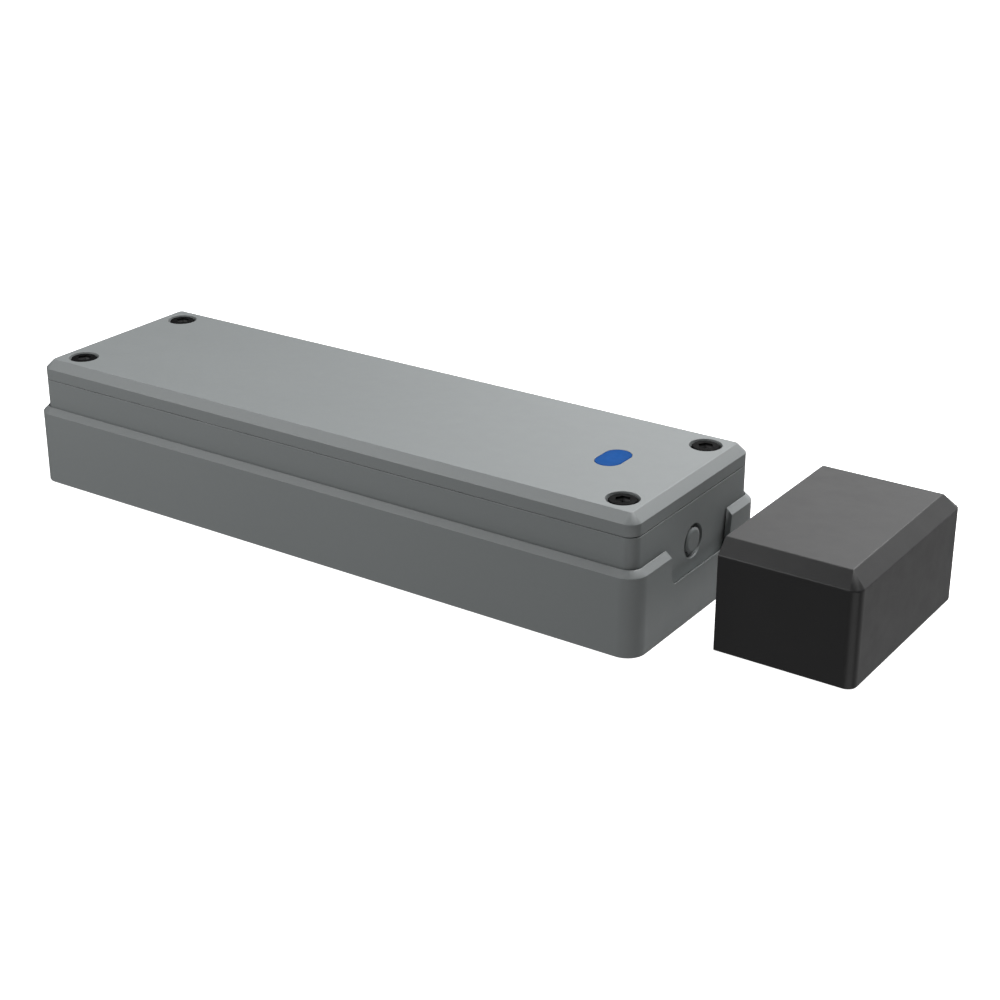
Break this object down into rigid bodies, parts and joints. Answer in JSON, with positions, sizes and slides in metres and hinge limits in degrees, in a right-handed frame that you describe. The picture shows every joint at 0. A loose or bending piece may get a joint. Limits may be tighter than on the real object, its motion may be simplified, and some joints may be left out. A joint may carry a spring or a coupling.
{
  "type": "door sensor",
  "caption": "Wireless door sensor: a long grey case with a blue status window and an end button, snapped into a mounting tray, with a separate black magnet block.",
  "frame": {"origin": "middle of the mounting tray's underside, on the surface that the sensor is fixed to", "axes": "+X along the case towards the end with the button and the magnet block, +Z away from the mounting surface, +Y to the left when looking along +X"},
  "size_m": [0.1431, 0.0438, 0.021],
  "materials": {
    "tray_plastic": "fine moulded texture",
    "case_plastic": "fine moulded texture",
    "button_plastic": "fine moulded texture",
    "seal_rubber": "soft matt",
    "black_steel": "black oxide",
    "insert_brass": "turned",
    "blue_lens": "clear, polished",
    "board_laminate": "solder resist",
    "zinc_steel": "zinc plated",
    "led_body": "moulded",
    "reed_glass": "clear",
    "module_laminate": "solder resist",
    "shield_tin": "tin plated",
    "chip_resin": "moulded resin",
    "antenna_brass": "gold flash",
    "can_aluminium": "drawn can",
    "switch_plastic": "moulded",
    "stem_plastic": "moulded",
    "holder_plastic": "moulded",
    "cell_wrap": "shrunk film",
    "contact_steel": "nickel plated",
    "magnet_plastic": "satin black",
    "plate_plastic": "fine texture",
    "magnet_ferrite": "sintered ferrite",
    "pad_foam": "closed-cell foam"
  },
  "bodies": {
    "sensor": {"mounting_tray": "tray_plastic", "housing": "case_plastic", "lid": "case_plastic", "lid_seal": "seal_rubber", "lid_screws": "black_steel", "screw_inserts": "insert_brass", "light_pipe": "blue_lens", "circuit_board": "board_laminate", "board_screws": "zinc_steel", "status_led": "led_body", "reed_switch": "reed_glass", "radio_module": "module_laminate", "radio_shield": "shield_tin", "microcontroller": "chip_resin", "antenna": "antenna_brass", "storage_capacitor": "can_aluminium", "button_switch": "switch_plastic", "battery_holder": "holder_plastic", "battery_cell": "cell_wrap", "negative_contact": "contact_steel", "positive_contact": "contact_steel"},
    "button": {"push_button": "button_plastic", "button_seal": "seal_rubber", "switch_stem": "stem_plastic"},
    "magnet_block": {"magnet_case": "magnet_plastic", "magnet_base_plate": "plate_plastic", "magnet_plate_screws": "zinc_steel", "bar_magnet": "magnet_ferrite", "magnet_pad": "pad_foam"}
  },
  "joints": [
    {"name": "button_press", "type": "slide", "parent": "sensor", "child": "button", "axis": [-1, 0, 0], "range_m": [0, 0.0005], "stiffness_N_per_m": 800, "springref_m": -0.0005},
    {"name": "magnet_travel", "type": "slide", "parent": "sensor", "child": "magnet_block", "axis": [1, 0, 0], "range_m": [-0.005, 0.06]}
  ]
}
